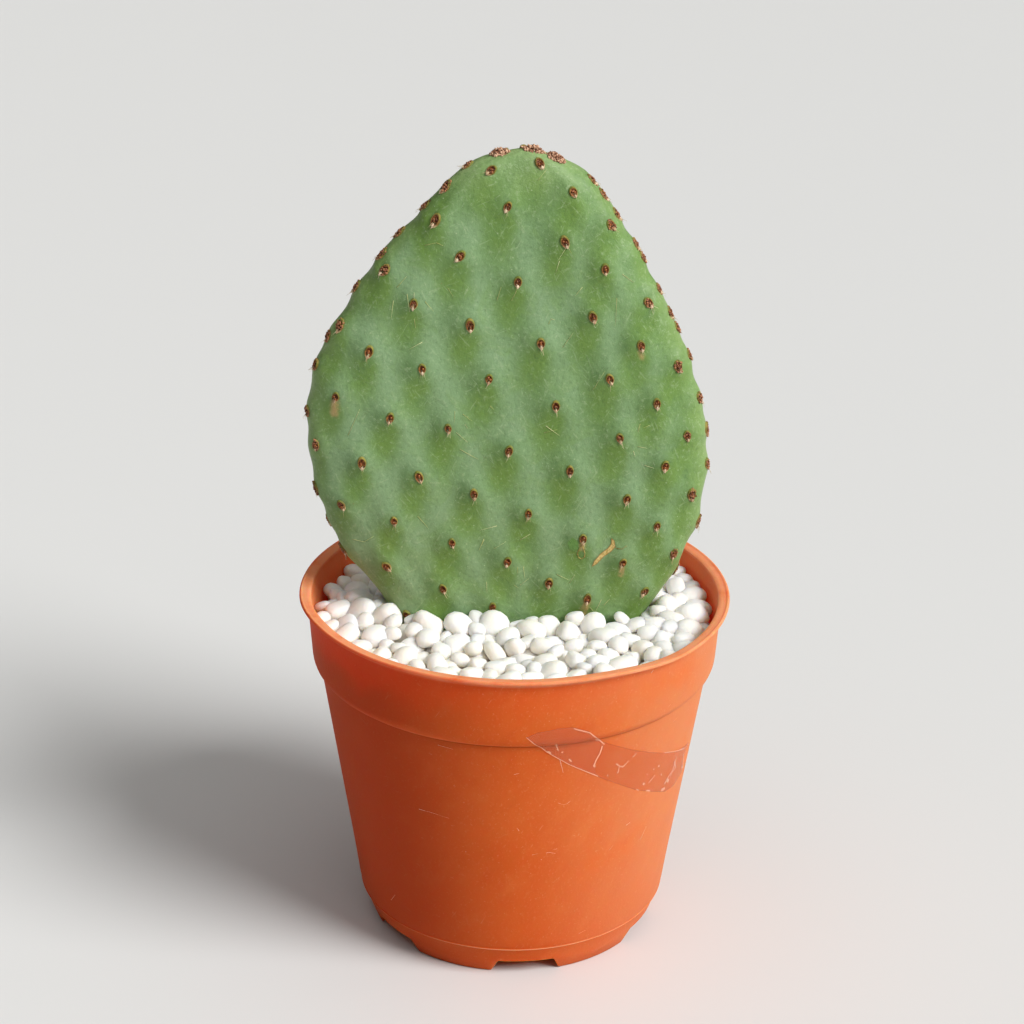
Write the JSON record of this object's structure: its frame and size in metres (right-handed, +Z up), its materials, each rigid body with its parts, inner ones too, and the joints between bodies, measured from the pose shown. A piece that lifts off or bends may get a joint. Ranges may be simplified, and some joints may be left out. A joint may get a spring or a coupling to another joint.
{
  "type": "potted paddle cactus",
  "caption": "Upright oval prickly pear pad with slanting rows of felted areoles, in a tapered plastic nursery pot topped with white pebbles.",
  "frame": {"origin": "on the ground under the middle of the pot", "axes": "+Z up through the pad, -Y towards the pad's front face, +X to the right along the pad's width"},
  "size_m": [0.1, 0.1, 0.1916],
  "materials": {
    "pot_plastic": "semi-gloss orange polypropylene, fine scratches",
    "potting_mix": "dark brown gritty potting mix, rough",
    "pebble_stone": "tumbled white pebbles, smooth and matte",
    "cactus_skin": "waxy blue-green skin with a thin bloom",
    "clear_tape": "clear adhesive film, glossy"
  },
  "bodies": {
    "root": {"pot": "pot_plastic", "potting_mix": "potting_mix", "pebbles": "pebble_stone", "cactus_pad": "cactus_skin", "tape_scrap": "clear_tape"}
  },
  "joints": []
}
